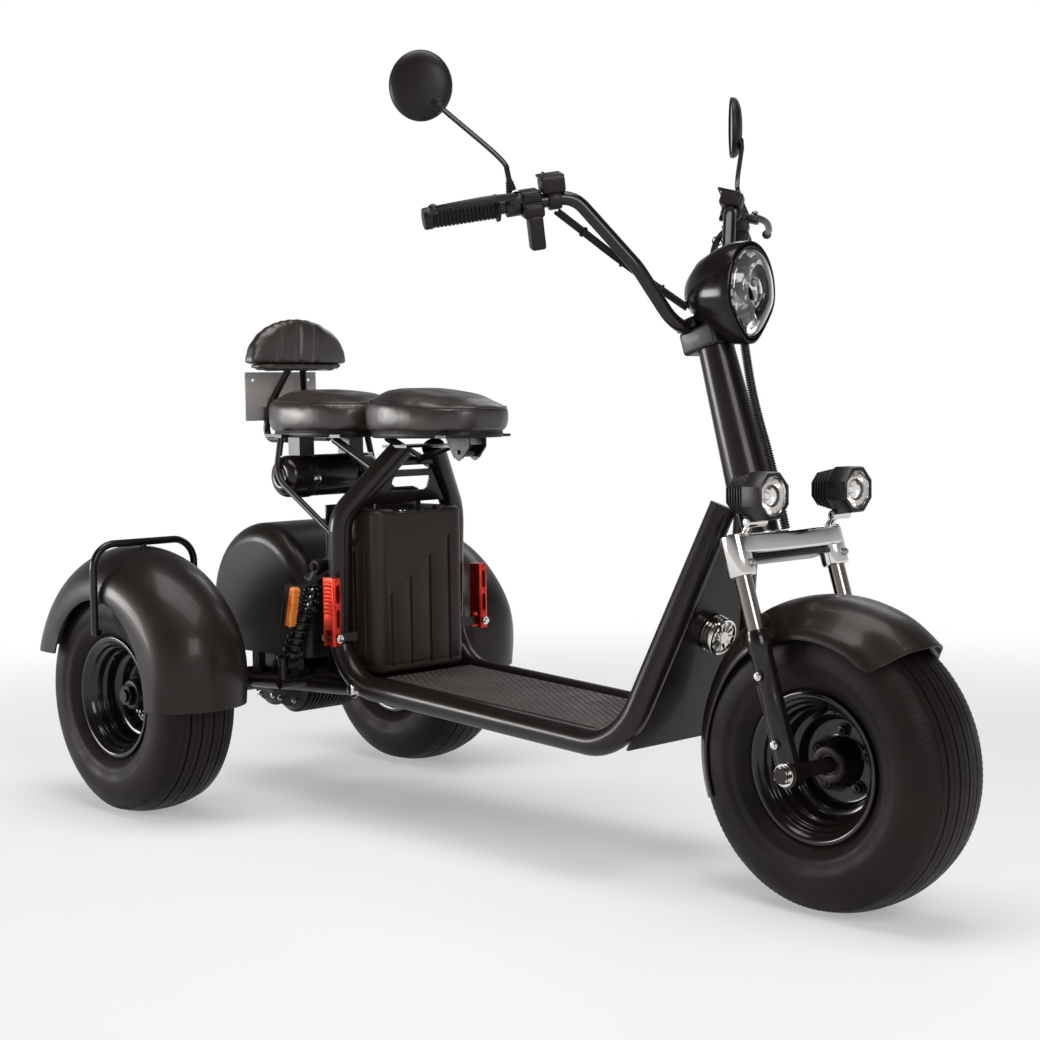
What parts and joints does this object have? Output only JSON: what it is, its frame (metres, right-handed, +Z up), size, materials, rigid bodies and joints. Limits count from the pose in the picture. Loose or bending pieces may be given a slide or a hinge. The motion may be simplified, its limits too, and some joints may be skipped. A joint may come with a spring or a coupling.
{
  "type": "electric three-wheel scooter",
  "caption": "Low electric trike: one steered front wheel, driven rear axle, step-through tube frame, lifting seat over the battery, passenger seat with backrest, folding pegs.",
  "frame": {"origin": "on the ground, midway between the front of the front tyre and the back of the rear fenders", "axes": "+X forward, +Y to the left, +Z up"},
  "size_m": [1.9042, 0.928, 1.3361],
  "materials": {
    "tyre": "matt",
    "rim_black": "gloss",
    "frame_paint": "satin",
    "fender_black": "satin",
    "seat_cover": "satin",
    "battery_plastic": "satin",
    "black_plastic": "satin",
    "grip_rubber": "matt",
    "chrome": "polished",
    "bare_steel": "satin",
    "dark_metal": "satin",
    "lamp_lens": "clear",
    "orange_lens": "gloss",
    "red_metal": "anodised",
    "plate_paint": "satin"
  },
  "bodies": {
    "chassis": {"head_tube": "frame_paint", "frame_rail_left": "frame_paint", "frame_rail_right": "frame_paint", "frame_panels": "frame_paint", "floor_plate": "frame_paint", "battery": "battery_plastic", "seat_frame": "frame_paint", "rear_seat": "seat_cover", "backrest": "seat_cover", "rear_seat_frame": "frame_paint", "plate_panel": "plate_paint", "canister": "dark_metal", "rear_axle": "bare_steel", "swingarm": "frame_paint", "drive_motor": "dark_metal", "shock_absorbers": "dark_metal", "turn_signals": "orange_lens", "rear_fenders": "fender_black", "fender_stays": "frame_paint", "drive_cover": "fender_black", "horn": "chrome"},
    "steering": {"steering_column": "frame_paint", "fork_crown": "chrome", "fork_legs": "chrome", "front_axle": "bare_steel", "front_fender": "fender_black", "handlebar": "frame_paint", "grips": "grip_rubber", "brake_levers": "bare_steel", "control_housings": "black_plastic", "mirrors": "black_plastic", "headlamp_housing": "black_plastic", "headlamp_lens": "lamp_lens", "handlebar_clamp": "frame_paint", "spot_lights": "bare_steel", "cable_sleeves": "black_plastic"},
    "front_wheel": {"front_tyre": "tyre", "front_rim": "rim_black"},
    "rear_wheel_right": {"rear_tyre_right": "tyre", "rear_rim_right": "rim_black"},
    "rear_wheel_left": {"rear_tyre_left": "tyre", "rear_rim_left": "rim_black"},
    "seat": {"front_seat": "seat_cover", "seat_plate": "frame_paint"},
    "peg_right": {"footpeg_right": "red_metal"},
    "peg_left": {"footpeg_left": "red_metal"}
  },
  "joints": [
    {"name": "steering_turn", "type": "hinge", "parent": "chassis", "child": "steering", "pos_m": [0.56932, 0, 0.60538], "axis": [-0.2924, 0, 0.9563], "range_deg": [-35, 35]},
    {"name": "front_wheel_roll", "type": "hinge", "parent": "steering", "child": "front_wheel", "pos_m": [0.72609, 0, 0.226], "axis": [0, 1, 0], "continuous": true},
    {"name": "rear_wheel_right_roll", "type": "hinge", "parent": "chassis", "child": "rear_wheel_right", "pos_m": [-0.67391, -0.346, 0.226], "axis": [0, 1, 0], "continuous": true},
    {"name": "rear_wheel_left_roll", "type": "hinge", "parent": "chassis", "child": "rear_wheel_left", "pos_m": [-0.67391, 0.346, 0.226], "axis": [0, 1, 0], "continuous": true},
    {"name": "seat_lift", "type": "hinge", "parent": "chassis", "child": "seat", "pos_m": [-0.10691, 0, 0.69], "axis": [0, 1, 0], "range_deg": [0, 75]},
    {"name": "peg_right_fold", "type": "hinge", "parent": "chassis", "child": "peg_right", "pos_m": [-0.28191, -0.182, 0.35], "axis": [1, 0, 0], "range_deg": [0, 90]},
    {"name": "peg_left_fold", "type": "hinge", "parent": "chassis", "child": "peg_left", "pos_m": [-0.28191, 0.182, 0.35], "axis": [-1, 0, 0], "range_deg": [0, 90]}
  ]
}
